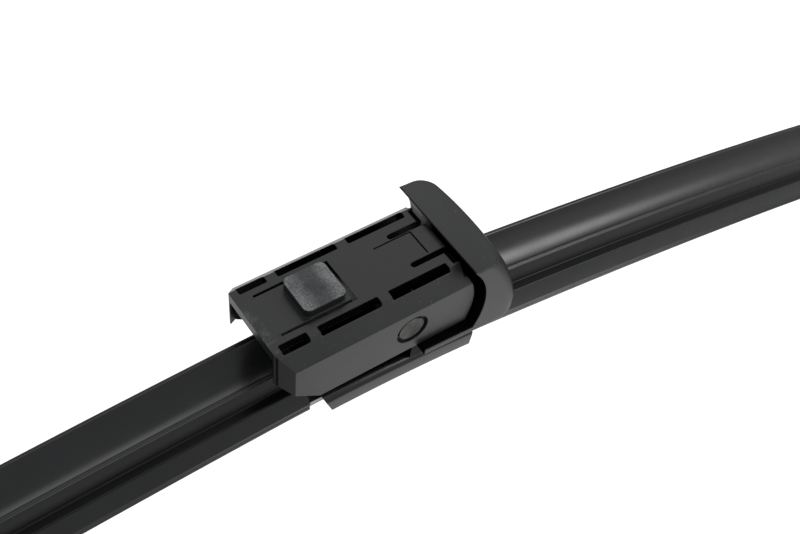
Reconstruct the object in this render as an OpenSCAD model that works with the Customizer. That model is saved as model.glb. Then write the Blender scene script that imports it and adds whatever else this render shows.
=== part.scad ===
// Flat wiper blade with a push-button arm adapter and a joint cover.
// Origin: middle of the arm seat on top of the adapter, straight above the pivot pin.
// +X runs along the blade towards the joint cover, +Z points away from the glass. Millimetres.

/* [Adapter body] */
// Outside width over the side walls, which the wiper arm's channel slides over
body_w = 16.5; // [14:0.1:22]
// From the pivot pin to the open left end
body_left = 20.9; // [18:0.1:26]
// From the pivot pin to the right end of the top plate
body_right = 9; // [8:0.1:9.4]
// From the seat down to the side walls' lower edge
body_h = 11.2; // [9:0.1:12]
// Radius of the side walls' right ends around the pivot pin
end_r = 10.65; // [9:0.05:11]
// Thickness of the side walls
wall_t = 1.6; // [1.2:0.1:1.8]
// Thickness of the top plate
plate_t = 1.7; // [1.4:0.1:2.2]
// Width of the flat seat between the two sloping bands
seat_w = 11.8; // [10:0.1:13]
// Height of the sloping band between the seat and each side wall
band_h = 2.75; // [1.5:0.05:3.5]
// Length of the plan-view facet on both left corners
facet_len = 1.9; // [0.5:0.1:3]
// Length of the bevel on the side walls' lower left corners
bevel_len = 5.9; // [2:0.1:8]
// Height of that bevel
bevel_h = 4.5; // [2:0.1:6]

/* [Adapter slots] */
// Left ends of the three slots along each edge, from the pivot pin
slot_x = [-19.76, -13.8, -2.45];
// Lengths of these slots
slot_len = [4.3, 9.62, 9.64];
// Width of the slots over the fold
slot_w = 1.45; // [0.8:0.05:2]
// Half width between the slots' inner edges
slot_in = 4.87; // [4.5:0.01:5.2]
// Radius of the slots' corners
slot_r = 0.25; // [0.1:0.05:0.5]
// Left end of the two slots beside the rear tab
tab_x = 2.8; // [1:0.1:5]
// Half width of the rear tab
tab_half = 2.45; // [1.5:0.05:3]
// Width of the slots beside the tab
tab_slot_w = 0.95; // [0.6:0.05:1.2]
// Width and depth of the low step at the plate's right end
step_size = [0.9, 0.5];
// Depth of the fine L-shaped line on the seat
line_d = 0.2; // [0.1:0.05:0.4]
// Width of that line
line_w = 0.22; // [0.15:0.01:0.4]

/* [Push button] */
// Side of the square button
button_w = 6.5; // [5:0.1:7]
// Middle of the button, from the pivot pin
button_x = -11.08; // [-13:0.02:-9]
// Height of the button's rim above the seat
button_rise = 1.5; // [1:0.1:2]
// Height of the shallow pyramid on the button
pyramid_h = 0.4; // [0.1:0.05:0.8]
// Radius of the button's corners
button_r = 0.9; // [0.3:0.1:1.5]
// Width of the flexing tongue that carries the button
tongue_w = 6.95; // [5.5:0.05:8]
// Thickness of the tongue
tongue_t = 1.2; // [0.8:0.1:1.5]
// Line about which the tongue bends, from the pivot pin
tongue_x = -18.4; // [-19:0.1:-17]
// Right end of the tongue, from the pivot pin
tongue_end = -7.25; // [-8:0.05:-7]
// Slot between the tongue and the plate on each side
tongue_gap = 0.4; // [0.3:0.05:0.8]
// Slot at the tongue's right end
tongue_end_gap = 0.55; // [0.3:0.05:1]
// Clearance around the tongue's rounded root
root_gap = 0.12; // [0.05:0.01:0.3]

/* [Joint cover] */
// Width over the cover, equal to the outside of the wiper arm
cover_w = 18.84; // [17:0.02:24]
// Top of the cover above the pivot axis
cover_top = 8.3; // [7.8:0.1:9.5]
// Lower edge of the cover below the pivot axis
cover_low = 6; // [5.6:0.1:7]
// Radius of the concave front around the pivot axis
front_r = 11.9; // [11.5:0.1:13]
// Back edge near the top: distance from the pin and height over it
back_hi = [14.25, 7.19];
// Back edge low down: distance from the pin and height over it
back_lo = [19.05, -3.03];
// Radius of the back seen from the side
back_r = 34; // [20:1:50]
// Radius of the back seen from above
plan_r = 63; // [40:1:90]
// Radius of the two back corners
corner_r = 3; // [1.5:0.1:4]
// How far the corners' tangent stands off the straight line through the back's two edge points
corner_out = 1.2; // [1:0.1:1.5]
// Fillet along the top back edge and the low back corner
cover_fillet = 1.2; // [0.6:0.1:1.6]
// Wall thickness of the cover
cover_t = 1.5; // [1.2:0.1:2]
// Left end of the feet under the adapter's side walls, from the pivot pin
foot_x = 2.3; // [1:0.1:5]
// Top of the feet below the pivot axis
foot_top = 4.95; // [4.8:0.05:5.4]
// Clearance between the cover's opening and the spoiler
cover_gap = 0.4; // [0.2:0.1:0.8]

/* [Pivot] */
// Radius of the pivot pin
pin_r = 2.05; // [1.5:0.05:2.5]
// Running clearance around the pin
pin_gap = 0.05; // [0.02:0.01:0.1]
// Radius of the round recess around each pin end
pin_recess_r = 2.6; // [2.3:0.05:3]
// Depth of that recess
pin_recess_d = 0.6; // [0.3:0.1:0.9]
// How far the pin ends stay below the side walls' faces
pin_inset = 0.2; // [0.1:0.05:0.5]
// Pin axis below the seat
pin_low = 6.66; // [6:0.02:8]
// Blade tilt about the pin at rest, cover end down, as photographed
rest_tilt = 3.84; // [0:0.02:8]

/* [Base bracket] */
// Sheet thickness of the bracket
sheet_t = 1.2; // [0.8:0.1:1.6]
// Left end of the bracket at its top, from the pivot pin
bracket_left = -13.7; // [-16:0.1:-11]
// How much shorter the claws are at their lower edge
bracket_rake = 2.1; // [0:0.1:4]
// Right end of the bracket, from the pivot pin
bracket_right = 13.4; // [10:0.1:15]
// Clear height of the claws' slot for the rails
claw_slot = 1.1; // [1:0.05:1.4]
// Side clearance between the rails and the claws
claw_gap = 0.2; // [0.05:0.05:0.3]
// How far the claws reach in under the rails
claw_reach = 2; // [1.5:0.1:2.3]
// Clear height of the hump over the rubber's head
hump_h = 1.1; // [1:0.1:1.6]
// Outside width over the two ears that carry the pin
ear_w = 10; // [9:0.1:11]
// Side play between the ears and the adapter's bosses
ear_play = 0.3; // [0.1:0.05:0.5]
// Radius of the adapter's bosses around the pin
boss_r = 3.6; // [3:0.1:4.2]
// Length of the ears at their foot
ear_len = 15; // [10:0.5:18]
// Radius of the ears' rounded top
ear_r = 3.6; // [3:0.1:4]

/* [Blade] */
// Developed length from tip to tip
blade_len = 500; // [350:10:700]
// Centre line of the steel rails below the pin
rail_low = 11.85; // [11:0.05:14]
// Radius of the bend in the middle of the rails
bend_r = 223; // [150:1:400]
// Developed length of that middle bend
bend_len = 40; // [20:1:80]
// Radius of the rest of the rails
bow_r = 1070; // [700:10:2000]
// Width of each steel rail
rail_w = 4.3; // [3:0.1:5]
// Thickness of each steel rail
rail_t = 0.95; // [0.8:0.05:1]
// Gap between the two rails, filled by the rubber's waist
rail_gap = 1.8; // [1.2:0.1:2.5]
// Clearance between the spoiler, the rails and the rubber
slip = 0.05; // [0.02:0.01:0.1]
// Gap between the left spoiler and the bracket
left_gap = 0.3; // [0.2:0.1:4]
// Gap between the right spoiler and the bracket
right_gap = 0.9; // [0.3:0.1:4]

/* [Spoiler] */
// Width of the spoiler's base
spoiler_w = 11; // [10.8:0.1:12]
// Depth of the base below the rails' centre line
base_low = 1.25; // [1:0.05:1.6]
// Radius along the base's lower edges
base_r = 0.75; // [0.3:0.05:0.9]
// Ridge: distance from the middle, away from the photographed side, and height over the rails
ridge = [2.9, 10.45];
// Fold between the upper wing and the flank: distance from the middle and height
fold = [-1.55, 6];
// Inner corner of the narrow ledge under the fold
ledge = [-2.5, 2.98];
// Outer edge of that ledge, where the flank starts
flank = [-3.75, 2.84];
// Depth of the two fine grooves, under the fold and along the base
groove_d = 0.16; // [0.1:0.02:0.3]

/* [Rubber] */
// Height from the rails' centre line to the wiping edge
rubber_h = 8.4; // [6:0.1:10]
// Thickness of the wiping edge
lip_t = 0.7; // [0.5:0.05:1]
// Width of the head and flange that hold the rubber on the rails
head_w = 5.8; // [4:0.1:6]
// Height of the rubber's head over the rails
head_h = 0.9; // [0.6:0.1:1]
// Width of the rubber's shoulder
shoulder_w = 4.4; // [3.5:0.1:5]
// Thickness of the bending neck
neck_t = 0.9; // [0.7:0.1:1.2]

/* [End caps] */
// Length of each end cap along the blade
cap_len = 16; // [10:1:25]
// Wall thickness of the caps
cap_t = 0.8; // [0.6:0.1:1.2]
// Thickness of the caps' closed ends
cap_end_t = 2; // [1.5:0.1:3]
// Free length between the rails and a cap's closed end
rail_play = 1; // [0.2:0.1:2]

/* [Hidden] */
$fn = 64;
big = 60;
hw = body_w / 2;
hs = seat_w / 2;
in_w = hw - wall_t;
hc = cover_w / 2;
rail_in = rail_gap / 2;
rail_out = rail_in + rail_w;
claw_in = rail_out + claw_gap;
claw_out = claw_in + sheet_t;
hb = claw_slot / 2;
hh = head_w / 2;
sw = spoiler_w / 2;
rail_end = blade_len / 2 - cap_end_t - rail_play;
// Half of the middle bend, as an angle seen from its centre
bend_a = arc_a(bend_len / 2, bend_r);
// Centre of the back's arc in the cover's side view
back_c = arc_centre(back_lo, back_hi, back_r);

// Angle of an arc with length s and radius r, in degrees to four places
function arc_a(s, r) = round(s / r * 1800000 / PI) / 10000;

// Points from a towards b, drawn aside by the point pull; b itself is left out
function bend(a, pull, b, n = 8) =
    [for (i = [0 : n - 1]) let(t = i / n) a * (1 - t) * (1 - t) + pull * 2 * t * (1 - t) + b * t * t];

// Centre of the circle with radius r through p and q, on their left
function arc_centre(p, q, r) = let(m = (p + q) / 2, d = q - p, l = norm(d), n = [d[1], -d[0]] / l)
    m - n * sign(n[0]) * sqrt(r * r - l * l / 4);

module across(w) {
    translate([0, w / 2, 0]) rotate([90, 0, 0]) linear_extrude(w) children();
}

module both_sides() {
    children();
    mirror([0, 1, 0]) children();
}

// Puts a piece drawn around the pin axis in place and tilts it with the blade
module tilted() {
    translate([0, 0, -pin_low]) rotate([0, rest_tilt, 0]) children();
}

// The same for a piece drawn around the middle of the rails
module on_rails() {
    tilted() translate([0, 0, -rail_low]) children();
}

// Sweeps a section, drawn with x across the blade and y away from the glass, from place a to place b
module along_blade(a, b) {
    m = bend_len / 2;
    if (a < -m) bend_end(-1) {
        arc_piece(bow_r, a + m, min(b, -m) + m) children();
        if (b > -m && b <= m) arc_piece(bend_r, 0, b + m) children();
    }
    if (b > m) bend_end(1) {
        arc_piece(bow_r, max(a, m) - m, b - m) children();
        if (a < m && a >= -m) arc_piece(bend_r, a - m, 0) children();
    }
    if ((a < -m) == (b > m)) arc_piece(bend_r, max(a, -m), min(b, m)) children();
}

// One arc through the origin, level there, from length a to length b along it
module arc_piece(r, a, b) {
    translate([0, 0, -r]) rotate([90, 0, 0])
        rotate_extrude(angle = arc_a(b, r) - arc_a(a, r), start = 90 - arc_a(b, r), $fn = 360)
            translate([r, 0]) rotate(-90) children();
}

// The end of the middle bend on one side, as a new origin
module bend_end(side) {
    translate([0, 0, -bend_r]) rotate([0, side * bend_a, 0]) translate([0, 0, bend_r]) children();
}

// Adapter: section, plan and side view of the channel; t shrinks them for its hollow
module channel_section(t = 0, top = 0) {
    polygon([[-hw + t, -body_h - t], [-hw + t, -band_h - t * 0.35], [-hs + t * 0.3, -top],
        [hs - t * 0.3, -top], [hw - t, -band_h - t * 0.35], [hw - t, -body_h - t]]);
}

module channel_plan(t = 0) {
    fx = -body_left + facet_len - t * 0.4;
    polygon([[-body_left - t, -hs + t], [fx, -hw + t], [big, -hw + t], [big, hw - t], [fx, hw - t],
        [-body_left - t, hs - t]]);
}

module channel_side() {
    polygon([[-body_left, 0], [end_r, 0], [end_r, -body_h], [-body_left + bevel_len, -body_h],
        [-body_left, -body_h + bevel_h]]);
}

// What is cut off at the right: round walls about the pin, and the square end of the plate
module channel_end() {
    translate([body_right, -big / 2, -plate_t]) cube(big);
    difference() {
        translate([0, -big / 2, -plate_t - big]) cube(big);
        translate([0, 0, -pin_low]) rotate([90, 0, 0]) cylinder(r = end_r, h = 2 * big, center = true, $fn = 180);
    }
}

module channel(t = 0, top = 0) {
    intersection() {
        rotate([90, 0, 90]) translate([0, 0, -big / 2]) linear_extrude(big) channel_section(t, top);
        translate([0, 0, -body_h - 5]) linear_extrude(body_h + 10) channel_plan(t);
    }
}

module adapter() {
    color([0.2, 0.21, 0.22]) difference() {
        union() {
            difference() {
                intersection() {
                    channel();
                    across(big) channel_side();
                }
                channel(wall_t, plate_t);
            }
            both_sides() translate([0, -ear_w / 2 - ear_play, -pin_low]) rotate([90, 0, 0])
                cylinder(r = boss_r, h = hw - ear_w / 2 - ear_play - wall_t / 2);
        }
        channel_end();
        adapter_slots();
        tongue_opening();
        pin_holes();
    }
}

module adapter_slots() {
    h = plate_t + 2;
    // Slots over the fold on both sides
    both_sides() for (i = [0 : len(slot_x) - 1])
        translate([slot_x[i], slot_in, -plate_t - 1]) linear_extrude(h) rounded(slot_len[i], slot_w, slot_r);
    // Slots beside the rear tab, round at their left ends, open at the right
    both_sides() translate([tab_x + tab_slot_w / 2, tab_half + tab_slot_w / 2, -plate_t - 1]) {
        cylinder(d = tab_slot_w, h = h);
        translate([0, -tab_slot_w / 2, 0]) cube([big, tab_slot_w, h]);
    }
    // Low step at the right end beside the tab
    both_sides() translate([body_right - step_size[0], tab_half + tab_slot_w / 2, -step_size[1]])
        cube([big, hs - tab_half - tab_slot_w / 2 - 0.3, big]);
    // Fine L-shaped line
    translate([0, tab_half - 0.3, -line_d]) cube([6.3, line_w, 1]);
    translate([6.3 - line_w, -tab_half + 0.3, -line_d]) cube([line_w, 2 * tab_half - 0.6, 1]);
}

// Rectangle from the origin to x, y with corners of radius r
module rounded(x, y, r) {
    translate([r, 0]) square([x - 2 * r, y]);
    translate([0, r]) square([x, y - 2 * r]);
    for (i = [r, x - r], j = [r, y - r]) translate([i, j]) circle(r, $fn = 32);
}

module tongue_opening() {
    w = tongue_w + 2 * tongue_gap;
    translate([tongue_x, -w / 2, -plate_t - 1])
        cube([tongue_end + tongue_end_gap - tongue_x, w, plate_t + 2]);
    translate([tongue_x, 0, -tongue_t / 2]) rotate([90, 0, 0])
        cylinder(r = tongue_t / 2 + root_gap, h = tongue_w, center = true);
}

module pin_holes() {
    translate([0, 0, -pin_low]) rotate([90, 0, 0]) {
        cylinder(r = pin_r + pin_gap, h = body_w + 2, center = true);
        for (s = [-1, 1]) translate([0, 0, s * (hw - pin_recess_d + 1)])
            cylinder(r = pin_recess_r, h = 2, center = true);
    }
}

module button_outline(w) {
    translate([-w / 2, -w / 2]) rounded(w, w, button_r);
}

module push_button() {
    color([0.3, 0.31, 0.32]) {
        translate([tongue_x, -tongue_w / 2, -tongue_t]) cube([tongue_end - tongue_x, tongue_w, tongue_t]);
        translate([tongue_x, 0, -tongue_t / 2]) rotate([90, 0, 0])
            cylinder(d = tongue_t, h = tongue_w, center = true);
        translate([button_x, 0, -tongue_t / 2]) linear_extrude(button_rise + tongue_t / 2)
            button_outline(button_w);
        translate([button_x, 0, button_rise - 0.01]) hull() {
            linear_extrude(0.01) button_outline(button_w - 0.1);
            translate([-0.1, -0.1, 0]) cube([0.2, 0.2, pyramid_h]);
        }
    }
}

module pivot_pin() {
    color([0.45, 0.43, 0.4]) translate([0, 0, -pin_low]) rotate([90, 0, 0])
        cylinder(r = pin_r, h = body_w - 2 * pin_inset, center = true);
}

// Section of the bracket: two claws around the rails, joined by a hump over the rubber's head
module bracket_section() {
    r = sheet_t;
    difference() {
        union() {
            translate([-claw_out, -hb - sheet_t + r]) square([2 * claw_out, claw_slot + 2 * sheet_t - 2 * r]);
            translate([-claw_out + r, -hb - sheet_t]) square([2 * (claw_out - r), claw_slot + 2 * sheet_t]);
            for (s = [-1, 1], z = [-1, 1]) translate([s * (claw_out - r), z * (hb + sheet_t - r)]) circle(r);
            translate([-hh - 0.2 - sheet_t, 0]) square([2 * (hh + 0.2 + sheet_t), hb + sheet_t + hump_h]);
        }
        translate([-claw_in, -hb]) square([2 * claw_in, claw_slot]);
        translate([-claw_in + claw_reach, -big]) square([2 * (claw_in - claw_reach), big]);
        translate([-hh - 0.2, -hb]) square([2 * (hh + 0.2), claw_slot + hump_h]);
    }
}

module base_bracket() {
    claw_h = claw_slot + 2 * sheet_t;
    color([0.3, 0.29, 0.28]) on_rails() difference() {
        union() {
            along_blade(bracket_left - 1, bracket_right) bracket_section();
            both_sides() translate([0, ear_w / 2, 0]) rotate([90, 0, 0]) linear_extrude(sheet_t) ear_outline();
        }
        // Raked left end
        translate([bracket_left, 0, hb + sheet_t]) rotate([0, -atan(bracket_rake / claw_h), 0])
            translate([-10, -big / 2, -10]) cube([10, big, 20]);
        translate([0, 0, rail_low]) rotate([90, 0, 0]) cylinder(r = pin_r, h = big, center = true);
    }
}

module ear_outline() {
    translate([0, rail_low]) circle(ear_r);
    polygon([[-ear_len / 2, hb + 0.3], [ear_len / 2, hb + 0.3], [ear_len / 2, hb + 3],
        [ear_r, rail_low - 1], [-ear_r, rail_low - 1], [-ear_len / 2, hb + 3]]);
    translate([-ear_r, rail_low - 1]) square([2 * ear_r, 1]);
}

// Side view of the cover's outer body, shrunk by t for its hollow; x from the pin, y over the pin
module cover_side(t = 0) {
    r = cover_fillet;
    c = [back_c[0] + sqrt(pow(back_r - t - r, 2) - pow(cover_top - t - r - back_c[1], 2)), cover_top - t - r];
    low = -cover_low;
    x1 = back_lo[0] - t;
    touch = c[1] + r * (c[1] - back_c[1]) / (back_r - t - r);
    intersection() {
        translate(back_c) circle(back_r - t, $fn = 180);
        translate([0, low + r]) square([x1, touch - low - r]);
    }
    translate([0, low]) square([x1 - r, 2 * r]);
    translate([x1 - r, low + r]) circle(r);
    translate([0, low]) square([c[0], cover_top - t - low]);
    translate(c) circle(r);
}

// The same as a body whose back also bulges in plan view
module cover_body(t = 0) {
    rim = sqrt(plan_r * plan_r - hc * hc);
    intersection() {
        translate([back_lo[0] - rim, 0, 0]) rotate_extrude(angle = 32, start = -16, $fn = 360)
            translate([plan_r - back_lo[0], 0]) cover_side(t);
        translate([foot_x, -hc + t, -big]) cube([big, cover_w - 2 * t, 2 * big]);
    }
}

// Leaning prisms that are cut off to round the cover's back corners in narrow facets
module cover_corners() {
    lean = atan((back_lo[0] - back_hi[0]) / (back_hi[1] - back_lo[1]));
    r = corner_r;
    both_sides() translate([back_hi[0], 0, back_hi[1]]) rotate([0, -lean, 0])
        translate([corner_out - r, hc - r, -big]) linear_extrude(2 * big)
            polygon(concat([for (i = [0 : 4]) [r * sin(i * 22.5), r * cos(i * 22.5)]],
                [[2 * r, 0], [2 * r, 2 * r], [0, 2 * r]]));
}

module joint_cover() {
    color([0.24, 0.25, 0.26]) tilted() difference() {
        union() {
            cover_body();
            // Skirts that stand on the bracket along its ears
            both_sides() translate([foot_x, ear_w / 2, hb + sheet_t - rail_low])
                cube([bracket_right - foot_x, claw_out - ear_w / 2, rail_low - hb - sheet_t - foot_top]);
        }
        cover_corners();
        // Room for the adapter's rounded end, with the feet left below it
        intersection() {
            rotate([90, 0, 0]) cylinder(r = front_r, h = big, center = true, $fn = 180);
            translate([-big / 2, -big / 2, -foot_top]) cube(big);
        }
        // Hollow behind the front wall
        difference() {
            intersection() {
                cover_body(cover_t);
                translate([0, -big / 2, -foot_top]) cube(big);
            }
            rotate([90, 0, 0]) cylinder(r = front_r + cover_t, h = big, center = true, $fn = 180);
        }
        // Passage between the feet, and the opening for the spoiler
        translate([0, -ear_w / 2, -big]) cube([back_lo[0] - cover_t, ear_w, big - foot_top]);
        translate([back_lo[0] - 8, -sw - cover_gap, -rail_low - 2])
            cube([big, 2 * (sw + cover_gap), ridge[1] + cover_gap + 2]);
    }
}

module rail(side) {
    color([0.35, 0.35, 0.36]) on_rails() along_blade(-rail_end, rail_end)
        translate([side > 0 ? rail_in : -rail_out, -rail_t / 2]) square([rail_w, rail_t]);
}

module rail_near() {
    rail(-1);
}

module rail_far() {
    rail(1);
}

// Outline of the wiping rubber: head, waist between the rails, flange, neck, shoulder and lip
function rubber_half() = let(n = rail_in - slip, u = rail_t / 2 + slip, neck = u + 1.1, k = u + 2.5) concat(
    [[hh, u + head_h], [hh, u], [n, u], [n, -u], [hh, -u], [hh, -neck], [neck_t / 2, -neck],
        [neck_t / 2, -k], [shoulder_w / 2 - 0.3, -k], [shoulder_w / 2, -k - 0.3]],
    bend([shoulder_w / 2, -k - 0.9], [lip_t / 2 + 0.15, -k - 1.7], [lip_t / 2, -rubber_h]),
    [[lip_t / 2, -rubber_h]]);

module wiping_rubber() {
    half = rubber_half();
    e = rail_end + rail_play / 2;
    color([0.12, 0.12, 0.13]) on_rails() along_blade(-e, e)
        polygon(concat(half, [for (i = [len(half) - 1 : -1 : 0]) [-half[i][0], half[i][1]]]));
}

// Outline of the spoiler: steep back, thin ridge, hollow wing, fold, ledge, leaning flank, rounded base
function spoiler_points() = concat(
    bend([sw, 1.4], [ridge[0] + 1.4, ridge[1] / 2], ridge + [0.35, -0.5]),
    bend(ridge + [0.35, -0.5], ridge + [0.3, 0], ridge, 4),
    bend(ridge, ridge + [-0.35, 0], ridge + [-0.45, -0.4], 4),
    bend(ridge + [-0.45, -0.4], [ridge[0] - 1.9, fold[1] + 1.15], fold + [0.3, 0.05], 14),
    bend(fold + [0.3, 0.05], fold, fold + [-0.05, -0.15], 4),
    [fold + [-0.05, -0.15], fold + [groove_d - 0.05, -0.22], fold + [groove_d - 0.1, -0.34],
        fold + [-0.12, -0.44]],
    bend(ledge + [0.07, 0.2], ledge, ledge + [-0.2, -0.02], 4),
    bend(flank + [0.2, 0.02], flank, flank + [-0.12, -0.12], 4),
    bend(flank + [-0.12, -0.12], (flank + [-sw, 0.75]) / 2 + [0.05, -0.05], [-sw, 0.75], 8),
    [[-sw, 0.75], [-sw, 0.1], [-sw + groove_d, 0.04], [-sw + groove_d, -0.1], [-sw, -0.16]],
    bend([-sw, -base_low + base_r], [-sw, -base_low], [-sw + base_r, -base_low], 6),
    bend([sw - base_r, -base_low], [sw, -base_low], [sw, -base_low + base_r], 6),
    [[sw, -base_low + base_r]]);

module spoiler_section() {
    difference() {
        polygon(spoiler_points());
        translate([-rail_out - slip, -rail_t / 2 - slip]) square([2 * (rail_out + slip), rail_t + 2 * slip]);
        translate([-hh - slip, 0]) square([2 * (hh + slip), rail_t / 2 + head_h + 2 * slip]);
        translate([-hh - 0.3, -big]) square([2 * (hh + 0.3), big]);
    }
}

module spoiler_left() {
    color([0.15, 0.15, 0.16]) on_rails() along_blade(-rail_end, bracket_left - left_gap) spoiler_section();
}

module spoiler_right() {
    color([0.15, 0.15, 0.16]) on_rails() along_blade(bracket_right + right_gap, rail_end) spoiler_section();
}

// Smooth outline around the spoiler at a distance of about t
function shell_points(t) = let(w = sw + t, r = ridge) concat(
    bend([w, 1.6], [r[0] + 1.7 + t, r[1] / 2], r + [0.5 + t, -0.4], 6),
    bend(r + [0.5 + t, -0.4], r + [0.5 + t, 0.1 + t], r + [0, 0.1 + t], 4),
    bend(r + [0, 0.1 + t], r + [-0.6 - t, 0.1 + t], r + [-0.75 - t, -0.5], 4),
    bend(r + [-0.75 - t, -0.5], [r[0] - 2.4 - t / 2, fold[1] + 1.7 + t], fold + [-0.3, 0.35 + t]),
    bend(fold + [-0.3, 0.35 + t], [fold[0] - 1.2 - t, flank[1] + 2.2], flank + [-0.4 - t, 0.6]),
    bend(flank + [-0.4 - t, 0.6], [-w, 1.9 + t], [-w, 0.6], 6),
    bend([-w, 0.6 - base_low], [-w, -base_low - t], [-w + base_r, -base_low - t], 6),
    bend([w - base_r, -base_low - t], [w, -base_low - t], [w, 0.6 - base_low], 6),
    [[w, 0.6 - base_low]]);

module end_cap(side) {
    l = blade_len / 2;
    ends = side < 0 ? [-l, cap_len - l] : [l - cap_len, l];
    hollow = side < 0 ? [cap_end_t - l, cap_len + 1 - l] : [l - cap_len - 1, l - cap_end_t];
    color([0.16, 0.16, 0.17]) on_rails() difference() {
        along_blade(ends[0], ends[1]) polygon(shell_points(cap_t));
        along_blade(hollow[0], hollow[1]) {
            polygon(shell_points(slip));
            translate([-hh - 0.3, -big / 2]) square([2 * (hh + 0.3), big / 2]);
        }
    }
}

module end_cap_left() {
    end_cap(-1);
}

module end_cap_right() {
    end_cap(1);
}

adapter();
push_button();
pivot_pin();
base_bracket();
joint_cover();
rail_near();
rail_far();
wiping_rubber();
spoiler_left();
spoiler_right();
end_cap_left();
end_cap_right();
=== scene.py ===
import math
import bpy
from mathutils import Matrix, Vector


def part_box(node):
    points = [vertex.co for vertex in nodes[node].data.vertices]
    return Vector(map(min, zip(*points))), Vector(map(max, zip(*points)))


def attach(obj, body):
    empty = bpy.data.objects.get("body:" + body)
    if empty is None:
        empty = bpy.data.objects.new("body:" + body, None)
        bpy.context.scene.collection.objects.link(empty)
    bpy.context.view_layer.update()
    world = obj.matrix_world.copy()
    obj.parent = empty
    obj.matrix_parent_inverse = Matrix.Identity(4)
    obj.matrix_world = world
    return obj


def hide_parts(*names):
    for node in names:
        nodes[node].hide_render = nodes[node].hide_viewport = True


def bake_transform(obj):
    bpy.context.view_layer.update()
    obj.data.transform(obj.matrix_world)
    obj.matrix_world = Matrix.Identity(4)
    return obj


MM = 0.001
# Middle of the pin in mm, and the tilt of the blade against the adapter
PIN = Vector((0, 0, -6.66))
TILT = math.radians(3.84)
# From the pin down to the rails; radius and length of the bow's middle arc; radius of its two long arcs
RAIL_LOW = 11.85
BEND_R, BEND_LEN, BOW_R = 223.0, 40.0, 1070.0
# Middle of the push button along the adapter
BUTTON_MID = -11.1

# Dark and light tone of the adapter's moulding, and the dark colour painted as shade on faces that lie in
# shadow
MOULD = (0.011, 0.0115, 0.012), (0.014, 0.0146, 0.0153)
PAINTED_SHADE = (0.002, 0.002, 0.002)

# Adapter's plate: half width of the flat seat and fall of the bands beside it
SEAT_HALF, BAND_FALL = 5.9, 1.17
# Where the painted shade under the plate and inside the slots begins and is full: depth, side walls, left end,
# right end
SHADE_DEPTH, SHADE_SIDE, SHADE_LEFT, SHADE_RIGHT = (0.05, 0.12), (6.34, 6.4), (-20.84, -20.7), (8.9, 8.98)

# Lights of the room: azimuth, elevation, inner and outer angle, strength
LOBES = [
    (54, 46, 8, 34, 0.55),      # pale wall behind on the right
    (-97, 66, 3, 14, 1.5),      # overhead in front, left half
    (-66, 63, 3, 14, 1.5),      # overhead in front, right half
    (-42, 32, 4, 17, 4.0),      # strip light at the front right
    (-37, 28, 3, 11, 2.2),      # its right end
    (-35, 12, 10, 45, 0.3),     # pale horizon at the front right
    (0, 90, 6, 16, -0.3),       # darker ceiling
]
ROOM = 0.48
# Extra light of the floor for the camera alone, which makes the ground white
FLOOR_LIFT = 0.62
FLOOR_HALF, FLOOR_GAP = 3.0, 0.0005


# ---------------------------------------------------------------- camera
def add_camera():
    right = Vector((0.82169, -0.56500, 0.07498))
    up = Vector((0.40287, 0.66882, 0.62480))
    back = Vector((-0.40315, -0.48318, 0.77718))
    data = bpy.data.cameras.new("camera")
    data.sensor_fit = "HORIZONTAL"
    data.sensor_width = 36.0
    data.lens = 54.56
    data.clip_start = 0.005
    data.clip_end = 10.0
    cam = bpy.data.objects.new("camera", data)
    bpy.context.scene.collection.objects.link(cam)
    m = Matrix((right, up, back)).transposed().to_4x4()
    m.translation = Vector((-65.89, -82.90, 129.67)) * MM
    cam.matrix_world = m
    bpy.context.scene.camera = cam


# ---------------------------------------------------------------- node helpers
class Nodes:
    def __init__(self, tree):
        self.t = tree
        tree.nodes.clear()

    def add(self, kind, **values):
        n = self.t.nodes.new(kind)
        for k, v in values.items():
            setattr(n, k, v)
        return n

    def link(self, a, b):
        self.t.links.new(a, b)

    def noise(self, vec, scale, detail=2.0, rough=0.5):
        n = self.add("ShaderNodeTexNoise")
        n.inputs["Scale"].default_value = scale
        n.inputs["Detail"].default_value = detail
        n.inputs["Roughness"].default_value = rough
        self.link(vec, n.inputs["Vector"])
        return n.outputs["Fac"]

    def ramp(self, fac, stops):
        n = self.add("ShaderNodeValToRGB")
        e = n.color_ramp.elements
        while len(e) < len(stops):
            e.new(0.5)
        for i, (p, c) in enumerate(stops):
            e[i].position = p
            e[i].color = (c, c, c, 1) if not isinstance(c, tuple) else c + (1,)
        self.link(fac, n.inputs["Fac"])
        return n.outputs["Color"]

    def math(self, op, a, b=None, clamp=False):
        n = self.add("ShaderNodeMath", operation=op, use_clamp=clamp)
        for i, v in enumerate((a, b)):
            if v is None:
                continue
            if isinstance(v, (int, float)):
                n.inputs[i].default_value = v
            else:
                self.link(v, n.inputs[i])
        return n.outputs[0]

    def mix(self, fac, a, b):
        n = self.add("ShaderNodeMix", data_type="RGBA")
        if isinstance(fac, (int, float)):
            n.inputs[0].default_value = fac
        else:
            self.link(fac, n.inputs[0])
        for i, v in ((6, a), (7, b)):
            if isinstance(v, tuple):
                n.inputs[i].default_value = v + (1,)
            else:
                self.link(v, n.inputs[i])
        return n.outputs[2]

    def map_range(self, v, a, b, c, d):
        n = self.add("ShaderNodeMapRange")
        n.clamp = True
        for i, x in enumerate((a, b, c, d)):
            n.inputs[i + 1].default_value = x
        self.link(v, n.inputs[0])
        return n.outputs[0]


def shader(name):
    mat = bpy.data.materials.new(name)
    mat.use_nodes = True
    n = Nodes(mat.node_tree)
    out = n.add("ShaderNodeOutputMaterial")
    bsdf = n.add("ShaderNodeBsdfPrincipled")
    n.link(bsdf.outputs[0], out.inputs[0])
    return mat, n, bsdf, n.add("ShaderNodeTexCoord").outputs["Object"]


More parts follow.
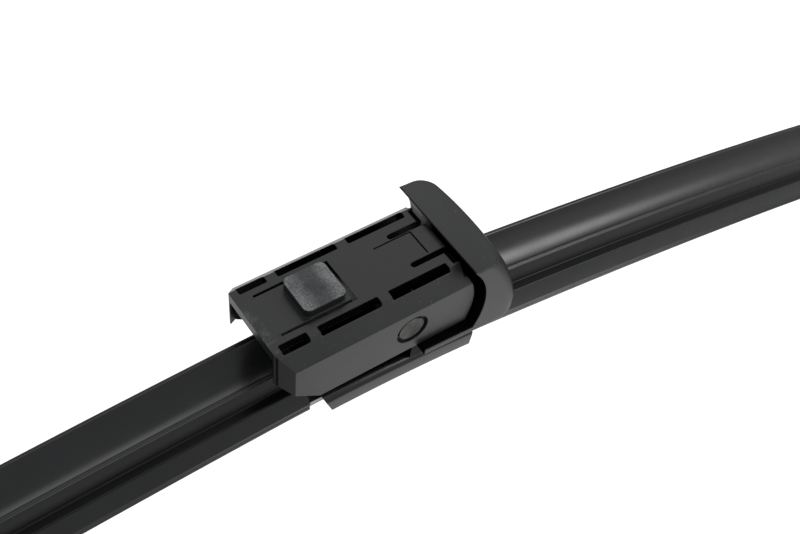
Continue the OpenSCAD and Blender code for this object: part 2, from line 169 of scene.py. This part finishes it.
def surface_normal(n, bsdf, height, strength, depth, bevel):
    """Bump from height over edges softened by bevel."""
    b = n.add("ShaderNodeBump")
    b.inputs["Strength"].default_value = strength
    b.inputs["Distance"].default_value = depth
    n.link(height, b.inputs["Height"])
    if bevel:
        bev = n.add("ShaderNodeBevel", samples=8)
        bev.inputs["Radius"].default_value = bevel
        n.link(bev.outputs[0], b.inputs["Normal"])
    n.link(b.outputs[0], bsdf.inputs["Normal"])


def plastic(name, dark, light, rough, bump=0.15, spec=0.5, bevel=0.00015, extra=None):
    """Black moulding: slightly uneven colour, fine grain, softened edges."""
    mat, n, bsdf, co = shader(name)
    blotch = n.noise(co, 120.0, 3.0, 0.6)
    fine = n.noise(co, 9000.0, 3.0, 0.65)
    colour = n.mix(n.map_range(blotch, 0.35, 0.7, 0.0, 1.0), dark, light)
    r = n.math("ADD", n.map_range(blotch, 0.3, 0.7, rough - 0.03, rough + 0.03),
               n.map_range(fine, 0.3, 0.7, -0.03, 0.03))
    bsdf.inputs["Specular IOR Level"].default_value = spec
    surface_normal(n, bsdf, fine, bump, 0.00003, bevel)
    if extra:
        colour, r = extra(n, bsdf, co, colour, r, spec)
    n.link(colour, bsdf.inputs["Base Color"])
    n.link(r, bsdf.inputs["Roughness"])
    return mat


def metal(name, dark, light, rough, bump=0.12):
    """Bare metal with slightly uneven colour and shine."""
    mat, n, bsdf, co = shader(name)
    blotch = n.noise(co, 900.0, 4.0, 0.6)
    fine = n.noise(co, 7000.0, 2.0, 0.6)
    n.link(n.mix(n.map_range(blotch, 0.35, 0.7, 0.0, 1.0), dark, light), bsdf.inputs["Base Color"])
    n.link(n.map_range(fine, 0.3, 0.7, rough - 0.04, rough + 0.05), bsdf.inputs["Roughness"])
    bsdf.inputs["Metallic"].default_value = 1.0
    surface_normal(n, bsdf, blotch, bump, 0.00003, 0.00012)
    return mat


def millimetres(n, co):
    """The three coordinates in millimetres."""
    xyz = n.add("ShaderNodeSeparateXYZ")
    n.link(co, xyz.inputs[0])
    return [n.math("MULTIPLY", o, 1000.0) for o in xyz.outputs]


def paint_shade(n, bsdf, colour, spec, shade_mask, left=0.05):
    """Painted shade: colour and shine taken away where the mask is one, on faces that lie in shadow."""
    n.link(n.map_range(shade_mask, 0.0, 1.0, spec, left), bsdf.inputs["Specular IOR Level"])
    return n.mix(shade_mask, colour, PAINTED_SHADE)


def dusted(n, co, colour, shade_mask, scale, first, full, amount, tone):
    """Sparse dust, none where the painted shade mask is one."""
    dust = n.map_range(n.noise(co, scale, 1.0, 0.4), first, full, 0.0, amount)
    dust = n.math("MULTIPLY", dust, n.map_range(shade_mask, 0.0, 0.5, 1.0, 0.0))
    return n.mix(dust, colour, tone)


def adapter_extra(n, bsdf, co, colour, r, spec):
    """Painted shade on the walls inside the slots and under the plate, rubbed pale patch at the left edge,
    dust.
    """
    x, y, z = millimetres(n, co)
    side = n.math("ABSOLUTE", y)
    top = n.math("MULTIPLY", n.math("MAXIMUM", n.math("SUBTRACT", side, SEAT_HALF), 0.0), -BAND_FALL)
    # Painted shade: faces deeper than the plate's top, within the side walls and ends, darkened and dulled
    slot_shade = n.map_range(n.math("SUBTRACT", top, z), *SHADE_DEPTH, 0.0, 1.0)
    slot_shade = n.math("MULTIPLY", slot_shade, n.map_range(side, *SHADE_SIDE, 1.0, 0.0))
    slot_shade = n.math("MULTIPLY", slot_shade, n.map_range(x, *SHADE_LEFT, 0.0, 1.0))
    slot_shade = n.math("MULTIPLY", slot_shade, n.map_range(x, *SHADE_RIGHT, 1.0, 0.0))
    colour = paint_shade(n, bsdf, colour, spec, slot_shade, 0.06)
    # Rubbed patch along the left edge of the plate
    cloud = n.noise(co, 700.0, 4.0, 0.7)
    patch = n.math("MULTIPLY", n.map_range(x, -19.2, -20.4, 0.0, 1.0), n.map_range(y, 3.5, 1.0, 0.0, 1.0))
    patch = n.math("MULTIPLY", patch, n.map_range(z, -0.1, -0.02, 0.0, 1.0))
    patch = n.math("MULTIPLY", patch, n.map_range(cloud, 0.48, 0.62, 0.0, 1.0))
    colour = n.mix(n.math("MULTIPLY", patch, 0.55), colour, (0.11, 0.115, 0.12))
    return dusted(n, co, colour, slot_shade, 2600.0, 0.76, 0.8, 0.5, (0.16, 0.16, 0.165)), r


def cover_extra(n, bsdf, co, colour, r, spec):
    """Painted shade on the concave front and skirts of the cover, a little dust elsewhere."""
    x, y, z = millimetres(n, co)
    z = n.math("ADD", z, -PIN.z)
    away = n.math("SQRT", n.math("ADD", n.math("MULTIPLY", x, x), n.math("MULTIPLY", z, z)))
    # Painted shade within the front's radius about the pin, between the cover's sides
    shade_mask = n.math("MULTIPLY", n.map_range(away, 12.0, 12.15, 1.0, 0.0),
                  n.map_range(n.math("ABSOLUTE", y), 9.2, 9.3, 1.0, 0.0))
    colour = paint_shade(n, bsdf, colour, spec, shade_mask)
    return dusted(n, co, colour, shade_mask, 2200.0, 0.74, 0.79, 0.4, (0.14, 0.145, 0.15)), r


def spoiler_extra(n, bsdf, co, colour, r, spec):
    """Painted shade along the spoiler's ledge."""
    ledge_shade = n.add("ShaderNodeAttribute", attribute_name="ledge_shade").outputs["Fac"]
    return paint_shade(n, bsdf, colour, spec, n.map_range(ledge_shade, 0.5, 1.0, 0.0, 0.7)), r


def bracket_extra(n, bsdf, co, colour, r, spec):
    """Painted shade on the upper faces of the bracket between its two claws, which lie under the adapter."""
    side = n.math("ABSOLUTE", millimetres(n, co)[1])
    return paint_shade(n, bsdf, colour, spec, n.map_range(side, 5.5, 5.8, 1.0, 0.0)), r


def button_extra(n, bsdf, co, colour, r, spec):
    """Frosted, speckled top on the button, paler to its left and right; the rest like the adapter."""
    x, y, z = millimetres(n, co)
    top = n.map_range(z, 1.42, 1.5, 0.0, 1.0)
    speck = n.noise(co, 3800.0, 3.0, 0.7)
    cloud = n.noise(co, 420.0, 2.0, 0.5)
    rub = n.math("MULTIPLY", n.map_range(cloud, 0.42, 0.62, 0.6, 1.0),
                 n.map_range(speck, 0.4, 0.72, 0.25, 0.95))
    ends = n.map_range(n.math("ABSOLUTE", n.math("SUBTRACT", x, BUTTON_MID)), 0.8, 3.2, 0.42, 2.3)
    rub = n.math("MULTIPLY", rub, ends, clamp=True)
    colour = n.mix(n.math("MULTIPLY", top, rub), colour, (0.2, 0.21, 0.215))
    return colour, n.math("ADD", r, n.math("MULTIPLY", top, 0.12))


def set_mat(obj, mat):
    obj.data.materials.clear()
    obj.data.materials.append(mat)


# ---------------------------------------------------------------- the blade's line
def place(s, u, v):
    """Point of the blade: s along it, u across it, v away from the glass, in metres at rest."""
    m = BEND_LEN / 2
    side = -1 if s < 0 else 1
    a0 = m / BEND_R
    if abs(s) <= m:
        a = s / BEND_R
        p = Vector((BEND_R * math.sin(a), 0, BEND_R * (math.cos(a) - 1)))
    else:
        a = side * (a0 + (abs(s) - m) / BOW_R)
        c = Vector((side * (BEND_R - BOW_R) * math.sin(a0), 0, -BEND_R + (BEND_R - BOW_R) * math.cos(a0)))
        p = c + BOW_R * Vector((math.sin(a), 0, math.cos(a)))
    n = Vector((math.sin(a), 0, math.cos(a)))
    q = p + n * v + Vector((0, u, -RAIL_LOW))
    x = q.x * math.cos(TILT) + q.z * math.sin(TILT)
    z = -q.x * math.sin(TILT) + q.z * math.cos(TILT)
    return (Vector((x, q.y, z)) + PIN) * MM


def bend(a, pull, b, n):
    """Points of a curve from a towards pull to b, without b itself."""
    return [((1 - t) ** 2 * a[0] + 2 * t * (1 - t) * pull[0] + t * t * b[0],
             (1 - t) ** 2 * a[1] + 2 * t * (1 - t) * pull[1] + t * t * b[1])
            for t in (i / n for i in range(n))]


def mesh_object(name, verts, faces):
    me = bpy.data.meshes.new(name)
    me.from_pydata([tuple(v) for v in verts], [], faces)
    me.validate()
    me.update()
    o = bpy.data.objects.new(name, me)
    bpy.context.scene.collection.objects.link(o)
    return o


def from_pin(x, y, z):
    """Point given from the pin, blade level, in metres at rest."""
    c, s = math.cos(TILT), math.sin(TILT)
    return (Vector((x * c + z * s, y, -x * s + z * c)) + PIN) * MM


def smooth(obj, degrees):
    """Smooth shading, sharp over edges steeper than this."""
    obj.data.polygons.foreach_set("use_smooth", [True] * len(obj.data.polygons))
    obj.data.set_sharp_from_angle(angle=math.radians(degrees))


def stack(name, loops, to_world):
    """Closed solid through level loops of the same number of points."""
    k = len(loops[0])
    verts = [to_world(*p) for loop in loops for p in loop]
    faces = [tuple(range(k))[::-1]]
    for i in range(len(loops) - 1):
        for j in range(k):
            a, b = i * k + j, i * k + (j + 1) % k
            faces.append((a, b, b + k, a + k))
    faces.append(tuple(range((len(loops) - 1) * k, len(loops) * k)))
    return mesh_object(name, verts, faces)


def combine(obj, tools):
    """Join or cut obj with each tool in turn, and drop the tools."""
    for o, op in tools:
        m = obj.modifiers.new(o.name, "BOOLEAN")
        m.object, m.operation, m.solver = o, op, "EXACT"
    bpy.context.view_layer.update()
    me = bpy.data.meshes.new_from_object(obj.evaluated_get(bpy.context.evaluated_depsgraph_get()))
    obj.modifiers.clear()
    obj.data = me
    for o, op in tools:
        bpy.data.objects.remove(o)


# ---------------------------------------------------------------- spoiler
# Points of the section, u across and v over the rails; half width, lower face and lower radius of the base
RIDGE, FOLD, LEDGE, FLANK = (2.9, 10.45), (-1.55, 6.0), (-2.5, 2.98), (-3.75, 2.84)
SW, BASE_LOW, BASE_R = 5.5, 1.25, 0.75
# Small grooves under the fold and along the base; slot for the rails; slot for the rubber's head
GROOVE = 0.16
RAIL_SLOT, RAIL_WIDE = 0.525, 5.25
NECK_HALF, HEAD_HALF, HEAD_TOP = 3.2, 2.95, 1.425
SPOILER_END, SPOILER_LEFT, SPOILER_RIGHT, STEP = 247.0, -14.0, 14.3, 1.6


def shift(p, x, y):
    return (p[0] + x, p[1] + y)


def spoiler_outline():
    """Outline over the rails: back, ridge, hollow wing, fold, ledge, leaning flank, base, rail channel."""
    r, f, g = RIDGE, FOLD, GROOVE
    pts = bend((SW, 1.4), (r[0] + 1.4, r[1] / 2), shift(r, 0.35, -0.5), 14)
    pts += bend(shift(r, 0.35, -0.5), shift(r, 0.3, 0), r, 6)
    pts += bend(r, shift(r, -0.35, 0), shift(r, -0.45, -0.4), 6)
    pts += bend(shift(r, -0.45, -0.4), (r[0] - 1.9, f[1] + 1.15), shift(f, 0.3, 0.05), 28)
    pts += bend(shift(f, 0.3, 0.05), f, shift(f, -0.05, -0.15), 6)
    pts += [shift(f, -0.05, -0.15), shift(f, g - 0.05, -0.22), shift(f, g - 0.1, -0.34), shift(f, -0.12, -0.44)]
    pts += bend(shift(LEDGE, 0.07, 0.2), LEDGE, shift(LEDGE, -0.2, -0.02), 6)
    pts += bend(shift(FLANK, 0.2, 0.02), FLANK, shift(FLANK, -0.12, -0.12), 6)
    pts += bend(shift(FLANK, -0.12, -0.12), ((FLANK[0] - SW) / 2 + 0.05, (FLANK[1] + 0.75) / 2 - 0.05),
                (-SW, 0.75), 10)
    pts += [(-SW, 0.75), (-SW, 0.12), (-SW + g, 0.05), (-SW + g, -0.12), (-SW, -0.19)]
    pts += bend((-SW, -BASE_LOW + BASE_R), (-SW, -BASE_LOW), (-SW + BASE_R, -BASE_LOW), 8)
    pts.append((-SW + BASE_R, -BASE_LOW))
    inner = [(NECK_HALF, -BASE_LOW), (NECK_HALF, -RAIL_SLOT), (RAIL_WIDE, -RAIL_SLOT), (RAIL_WIDE, RAIL_SLOT),
             (HEAD_HALF, RAIL_SLOT), (HEAD_HALF, HEAD_TOP)]
    pts += [(-x, y) for x, y in inner] + inner[::-1]
    pts += bend((SW - BASE_R, -BASE_LOW), (SW, -BASE_LOW), (SW, -BASE_LOW + BASE_R), 8)
    pts.append((SW, -BASE_LOW + BASE_R))
    return pts


def add_spoiler(node, s0, s1, mat):
    """One length of spoiler along the bow, its ledge marked for painted shade in the material."""
    n = int((s1 - s0) / STEP)
    pts = spoiler_outline()
    loops = [[(s0 + (s1 - s0) * i / n, u, v) for u, v in pts] for i in range(n + 1)]
    o = stack(node + "_extrusion", loops, place)
    ledge_shade = o.data.attributes.new("ledge_shade", "FLOAT", "POINT")
    # Points of the ledge that get painted shade
    dark = [1.0 if -4.0 < u < -2.2 and 2.6 < v < 3.3 else 0.0 for u, v in pts]
    ledge_shade.data.foreach_set("value", dark * (n + 1))
    smooth(o, 32)
    set_mat(o, mat)
    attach(o, "blade")
    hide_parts(node)


# ---------------------------------------------------------------- joint cover
# From the pin: half width, top, lower edge and radius of the concave front; the back's two points and radii
HC, COVER_TOP, COVER_LOW, FRONT_R = 9.42, 8.3, 6.0, 11.9
BACK_HI, BACK_LO, BACK_R, PLAN_R = (14.25, 7.19), (19.05, -3.03), 34.0, 63.0
# Front and top of the feet, wall, fillet along the top, corners in plan, softened edge
FOOT_X, FOOT_TOP, COVER_T, FILLET, CORNER, EDGE = 2.3, 4.95, 1.5, 1.2, 2.6, 0.18
# Half widths of the passage for the bracket and of the opening for the spoiler; the skirts' outside and ends
PASSAGE, OPENING, SKIRT_OUT, SKIRT_LOW, SKIRT_END = 5, 5.9, 6.6, 10.1, 13.4


def back_centre():
    """Centre of the back's arc in the middle plane."""
    (ax, ay), (bx, by) = BACK_LO, BACK_HI
    mx, my, l = (ax + bx) / 2, (ay + by) / 2, math.hypot(bx - ax, by - ay)
    nx, ny = (by - ay) / l, -(bx - ax) / l
    h = math.copysign(math.sqrt(BACK_R ** 2 - l * l / 4), nx)
    return mx - nx * h, my - ny * h


def back_x(z, t=0.0):
    """Back of the cover in the middle plane at height z, shrunk by t, with its fillets."""
    cx, cz = back_centre()
    r, R = FILLET, BACK_R - t
    x1, low, top = BACK_LO[0] - t, -COVER_LOW, COVER_TOP - t
    fx, fz = cx + math.sqrt((R - r) ** 2 - (top - r - cz) ** 2), top - r
    touch = fz + r * (fz - cz) / (R - r)
    if z > touch:
        return fx + math.sqrt(max(r * r - (z - fz) ** 2, 0))
    if z < low + r:
        return x1 - r + math.sqrt(max(r * r - (z - low - r) ** 2, 0))
    return min(x1, cx + math.sqrt(R * R - (z - cz) ** 2))


def cover_loop(z, front, t=0.0, edge=0.0):
    """Level outline of the cover at height z: front line, sides, rounded corners and bulging back."""
    hy = HC - t - edge
    rc = max(CORNER - t - edge, 0.6)
    ax = BACK_LO[0] - math.sqrt(PLAN_R ** 2 - HC ** 2)
    rho = PLAN_R - BACK_LO[0] + back_x(z, t) - edge * 0.3
    cy = hy - rc
    cx = ax + math.sqrt((rho - rc) ** 2 - cy ** 2)
    tip = math.atan2(cy, cx - ax)
    side = [(front + (cx - front) * i / 6, -hy) for i in range(6)]
    arc = []
    for i in range(13):
        a = -math.pi / 2 + (math.pi / 2 - tip) * i / 12
        arc.append((cx + rc * math.cos(a), -cy + rc * math.sin(a)))
    half = side + arc
    back = [(ax + rho * math.cos(-tip + 2 * tip * i / 20), rho * math.sin(-tip + 2 * tip * i / 20))
            for i in range(1, 20)]
    return [(x, y, z) for x, y in half + back + [(x, -y) for x, y in half[::-1]]]


def levels(a, b, n):
    return [a + (b - a) * i / n for i in range(n + 1)]


def add_cover(mat):
    """Bulging shell with rounded corners, hollow inside, open for bracket and spoiler, skirts on the claws."""
    def front(z):
        return math.sqrt(FRONT_R ** 2 - z * z)

    low, top, e = -COVER_LOW, COVER_TOP, EDGE
    loops = [cover_loop(low, FOOT_X, edge=e)]
    loops += [cover_loop(low + z, FOOT_X, edge=e - math.sqrt(e * e - (e - z) ** 2)) for z in (0.04, 0.1, e)]
    loops += [cover_loop(z, FOOT_X) for z in levels(low + 0.4, -FOOT_TOP, 4)]
    loops += [cover_loop(z, front(z)) for z in levels(-FOOT_TOP, top - FILLET, 36)]
    zs = [top - FILLET + FILLET * math.sin(math.pi / 2 * i / 12) for i in range(1, 13)]
    for z in zs:
        d = max(e - (top - z), 0)
        loops.append(cover_loop(z, front(z), edge=e - math.sqrt(max(e * e - d * d, 0))))
    outer = stack("joint_cover_shell", loops, from_pin)

    def box(name, lo, hi):
        loop = [(lo[0], lo[1]), (hi[0], lo[1]), (hi[0], hi[1]), (lo[0], hi[1])]
        return stack(name, [[(x, y, z) for x, y in loop] for z in (lo[2], hi[2])], from_pin)

    def hollow_front(z):
        return math.sqrt((FRONT_R + COVER_T) ** 2 - z * z)

    t = COVER_T
    hollow = stack("hollow", [cover_loop(z, hollow_front(z), t) for z in levels(-FOOT_TOP, top - t - 0.02, 40)],
                   from_pin)
    tools = [(hollow, "DIFFERENCE"),
             (box("passage", (0, -PASSAGE, -20), (BACK_LO[0] - t, PASSAGE, -FOOT_TOP)), "DIFFERENCE"),
             (box("opening", (BACK_LO[0] - 8, -OPENING, -14), (30, OPENING, -1.0)), "DIFFERENCE")]
    for y0, y1 in ((-SKIRT_OUT, -PASSAGE), (PASSAGE, SKIRT_OUT)):
        tools.append((box("skirt", (FOOT_X, y0, -SKIRT_LOW), (SKIRT_END, y1, -FOOT_TOP - 0.2)), "UNION"))
    combine(outer, tools)
    smooth(outer, 28)
    set_mat(outer, mat)
    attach(outer, "blade")
    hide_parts("joint_cover")


# ---------------------------------------------------------------- base bracket
# Claws: half width, lower face, lower and upper radius; thickness of the sheet
CLAW_OUT, CLAW_LOW, CLAW_LOW_R, CLAW_TOP_R, SHEET = 6.8, 2.1, 0.7, 1.2, 1.2
# Half height and half width of the slot for the rails, the lips' inner edge, the hump's half width and height
SLOT_HALF, SLOT_WIDE, LIP, HUMP_HALF, HUMP_TOP = 0.55, 5.35, 3.35, 3.1, 1.65
# Left end at the lower face, how much further left the top goes, right end, steps between them
BRACKET_LEFT, BRACKET_RAKE, BRACKET_RIGHT, BRACKET_STEPS = -10.8, 1.6, 14.2, 16
# Ears: outside, radius of their top, half length, lower edge, height of the foot and of the rounding's start
EAR_OUT, EAR_R, EAR_HALF, EAR_LOW, EAR_FOOT, EAR_NECK = 5, 3.6, 7.5, 0.85, 3.55, 10.85
PIN_R = 2.05


def add_bracket(mat):
    """Two claws with rounded edges around the rails, joined over the rubber's head, and the pin's ears."""
    high, r = SLOT_HALF + SHEET, CLAW_TOP_R
    half = [(LIP, -SLOT_HALF), (LIP, -CLAW_LOW)]
    half += bend((CLAW_OUT - CLAW_LOW_R, -CLAW_LOW), (CLAW_OUT, -CLAW_LOW),
                 (CLAW_OUT, -CLAW_LOW + CLAW_LOW_R), 8)
    half.append((CLAW_OUT, -CLAW_LOW + CLAW_LOW_R))
    half += [(CLAW_OUT - r + r * math.cos(a), high - r + r * math.sin(a))
             for a in (math.pi / 2 * i / 12 for i in range(13))]
    half += [(HUMP_HALF + SHEET, high), (HUMP_HALF + SHEET, HUMP_TOP + SHEET)]
    inner = [(SLOT_WIDE, -SLOT_HALF), (SLOT_WIDE, SLOT_HALF), (HUMP_HALF, SLOT_HALF), (HUMP_HALF, HUMP_TOP)]
    pts = half + [(-u, v) for u, v in half[::-1]] + [(-u, v) for u, v in inner] + inner[::-1]

    def along(i, v):
        left = BRACKET_LEFT - BRACKET_RAKE * (v + CLAW_LOW) / (high + CLAW_LOW)
        return left + (BRACKET_RIGHT - left) * i / BRACKET_STEPS

    body = stack("base_bracket_sheet",
                 [[(along(i, v), u, v) for u, v in pts] for i in range(BRACKET_STEPS + 1)], place)

    def plate(name, loop, y0, y1):
        return stack(name, [[(x, y, z - RAIL_LOW) for x, z in loop] for y in (y0, y1)], from_pin)

    def circle(r, a, b, n):
        angles = [a + (b - a) * i / n for i in range(n + 1)]
        return [(r * math.cos(t), RAIL_LOW + r * math.sin(t)) for t in angles]

    ear = [(-EAR_HALF, EAR_LOW), (-EAR_HALF, EAR_FOOT), (-EAR_R, EAR_NECK)] + circle(EAR_R, math.pi, 0, 24)
    ear += [(EAR_R, EAR_NECK), (EAR_HALF, EAR_FOOT), (EAR_HALF, EAR_LOW)]
    tools = [(plate("ear", ear, -EAR_OUT, -EAR_OUT + SHEET), "UNION"),
             (plate("ear", ear, EAR_OUT - SHEET, EAR_OUT), "UNION"),
             (plate("bore", circle(PIN_R, 2 * math.pi, 0, 48)[:-1], -20, 20), "DIFFERENCE")]
    combine(body, tools)
    smooth(body, 32)
    set_mat(body, mat)
    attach(body, "blade")
    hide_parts("base_bracket")


# ---------------------------------------------------------------- tongue's root
# Ends and half width of the skin, its depth, its rise over the plate and the length of that rise
ROOT_FROM, ROOT_TO, ROOT_HALF, ROOT_DEEP, ROOT_RISE, ROOT_FADE = -19.35, -17.35, 3.42, 0.15, 0.004, 0.3


def add_tongue_root(mat):
    """Thin skin over the line where the button's tongue grows out of the top plate."""
    w, d = ROOT_HALF, -ROOT_DEEP
    loops = []
    for x in levels(ROOT_FROM, ROOT_TO, 16):
        h = ROOT_RISE * (min(x - ROOT_FROM, ROOT_TO - x, ROOT_FADE) / ROOT_FADE)
        loops.append([(x, -w, d), (x, w, d), (x, w, h), (x, -w, h)])
    o = stack("tongue_root", loops, lambda x, y, z: Vector((x, y, z)) * MM)
    set_mat(o, mat)
    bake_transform(o)


# ---------------------------------------------------------------- scene
def add_stage(low):
    """Pale floor: white to the camera, and in reflections darker towards the front left."""
    me = bpy.data.meshes.new("floor")
    s = FLOOR_HALF
    me.from_pydata([(-s, -s, low), (s, -s, low), (s, s, low), (-s, s, low)], [], [(0, 1, 2, 3)])
    floor = bpy.data.objects.new("floor", me)
    bpy.context.scene.collection.objects.link(floor)
    mat = bpy.data.materials.new("floor_white")
    mat.use_nodes = True
    n = Nodes(mat.node_tree)
    out = n.add("ShaderNodeOutputMaterial")
    co = n.add("ShaderNodeTexCoord").outputs["Object"]
    d = n.add("ShaderNodeBsdfDiffuse")
    n.link(n.mix(n.noise(co, 3.0), (0.78, 0.78, 0.78), (0.8, 0.8, 0.8)), d.inputs[0])
    path = n.add("ShaderNodeLightPath")
    # Brightness in reflections: bright behind the object and at its front right, dim elsewhere in front
    xyz = n.add("ShaderNodeSeparateXYZ")
    n.link(co, xyz.inputs[0])
    far = n.map_range(xyz.outputs[1], -0.02, -0.05, 0.0, 0.27)
    spot = n.add("ShaderNodeVectorMath", operation="DISTANCE")
    n.link(co, spot.inputs[0])
    spot.inputs[1].default_value = (0.045, -0.055, low)
    near = n.map_range(spot.outputs["Value"], 0.03, 0.09, 0.8, 0.0)
    wide = n.map_range(n.math("ABSOLUTE", n.math("SUBTRACT", xyz.outputs[0], 0.02)), 0.075, 0.13, 0.8, 0.0)
    back = n.math("MULTIPLY", n.map_range(xyz.outputs[1], -0.005, 0.03, 0.0, 1.0), wide)
    bright = n.math("ADD", n.math("MAXIMUM", near, n.math("MAXIMUM", far, back)), 0.2, clamp=True)
    white = n.add("ShaderNodeEmission")
    white.inputs[1].default_value = 1.0
    n.link(n.mix(bright, (0.0, 0.0, 0.0), (1.0, 1.0, 1.0)), white.inputs[0])
    lift = n.add("ShaderNodeEmission")
    lift.inputs[0].default_value = (1, 1, 1, 1)
    lift.inputs[1].default_value = FLOOR_LIFT
    lit = n.add("ShaderNodeAddShader")
    n.link(d.outputs[0], lit.inputs[0])
    n.link(lift.outputs[0], lit.inputs[1])
    seen = n.add("ShaderNodeMixShader")
    n.link(path.outputs["Is Camera Ray"], seen.inputs[0])
    n.link(d.outputs[0], seen.inputs[1])
    n.link(lit.outputs[0], seen.inputs[2])
    glossy = n.add("ShaderNodeMixShader")
    n.link(path.outputs["Is Glossy Ray"], glossy.inputs[0])
    n.link(seen.outputs[0], glossy.inputs[1])
    n.link(white.outputs[0], glossy.inputs[2])
    n.link(glossy.outputs[0], out.inputs[0])
    me.materials.append(mat)


def add_world():
    """Dim room with the soft lights of LOBES."""
    w = bpy.data.worlds.new("studio")
    bpy.context.scene.world = w
    w.use_nodes = True
    n = Nodes(w.node_tree)
    out = n.add("ShaderNodeOutputWorld")
    bg = n.add("ShaderNodeBackground")
    co = n.add("ShaderNodeTexCoord").outputs["Generated"]

    def lobe(azimuth, elevation, inner, outer, strength):
        e, a = math.radians(elevation), math.radians(azimuth)
        dot = n.add("ShaderNodeVectorMath", operation="DOT_PRODUCT")
        n.link(co, dot.inputs[0])
        dot.inputs[1].default_value = (math.cos(e) * math.cos(a), math.cos(e) * math.sin(a), math.sin(e))
        m = n.add("ShaderNodeMapRange", interpolation_type="SMOOTHSTEP")
        m.inputs[1].default_value = math.cos(math.radians(outer))
        m.inputs[2].default_value = math.cos(math.radians(inner))
        m.inputs[3].default_value = 0.0
        m.inputs[4].default_value = strength
        n.link(dot.outputs["Value"], m.inputs[0])
        return m.outputs[0]

    total = lobe(*LOBES[0])
    for args in LOBES[1:]:
        total = n.math("ADD", total, lobe(*args))
    total = n.math("ADD", total, ROOM)
    col = n.mix(n.map_range(total, 0.2, 1.0, 0.0, 1.0), (0.96, 0.98, 1.0), (1.0, 1.0, 1.0))
    n.link(col, bg.inputs[0])
    n.link(total, bg.inputs[1])
    n.link(bg.outputs[0], out.inputs[0])


add_camera()
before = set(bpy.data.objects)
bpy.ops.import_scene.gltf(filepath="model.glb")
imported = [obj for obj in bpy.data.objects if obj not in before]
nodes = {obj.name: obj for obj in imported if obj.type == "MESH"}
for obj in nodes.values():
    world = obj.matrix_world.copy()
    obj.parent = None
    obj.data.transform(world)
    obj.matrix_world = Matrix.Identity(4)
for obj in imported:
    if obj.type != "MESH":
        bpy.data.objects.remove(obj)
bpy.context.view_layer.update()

adapter_mat = plastic("adapter_plastic", *MOULD, 0.34, extra=adapter_extra)
root_mat = plastic("adapter_plastic_root", *MOULD, 0.34, bevel=None)
button_mat = plastic("button_plastic", *MOULD, 0.36, extra=button_extra)
cover_mat = plastic("cover_plastic", (0.012, 0.0126, 0.0132), (0.015, 0.0157, 0.0165), 0.34,
                    extra=cover_extra)
spoiler_mat = plastic("spoiler_rubber", (0.0075, 0.008, 0.0086), (0.0095, 0.01, 0.0108), 0.24, bump=0.05,
                      extra=spoiler_extra)
rubber_mat = plastic("wiping_rubber", (0.006, 0.006, 0.006), (0.01, 0.01, 0.01), 0.55)
cap_mat = plastic("cap_plastic", (0.006, 0.006, 0.0064), (0.008, 0.008, 0.0085), 0.36)
pin_mat = metal("pin_steel", (0.05, 0.05, 0.048), (0.11, 0.11, 0.105), 0.4, bump=0.4)
bracket_mat = plastic("bracket_black", (0.006, 0.006, 0.006), (0.008, 0.008, 0.0078), 0.2, bump=0.05,
                      extra=bracket_extra)
rail_mat = metal("rail_steel", (0.3, 0.3, 0.31), (0.38, 0.38, 0.39), 0.32)

for node, mat in {
    "adapter": adapter_mat, "push_button": button_mat, "pivot_pin": pin_mat, "base_bracket": bracket_mat,
    "joint_cover": cover_mat, "rail_near": rail_mat, "rail_far": rail_mat, "wiping_rubber": rubber_mat,
    "spoiler_left": spoiler_mat, "spoiler_right": spoiler_mat, "end_cap_left": cap_mat,
    "end_cap_right": cap_mat,
}.items():
    set_mat(nodes[node], mat)

add_spoiler("spoiler_left", -SPOILER_END, SPOILER_LEFT, spoiler_mat)
add_spoiler("spoiler_right", SPOILER_RIGHT, SPOILER_END, spoiler_mat)
add_cover(cover_mat)
add_bracket(bracket_mat)
add_tongue_root(root_mat)

low = min(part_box(n)[0].z for n in nodes)
add_stage(low - FLOOR_GAP)
add_world()

scene = bpy.context.scene
scene.view_settings.view_transform = "Standard"
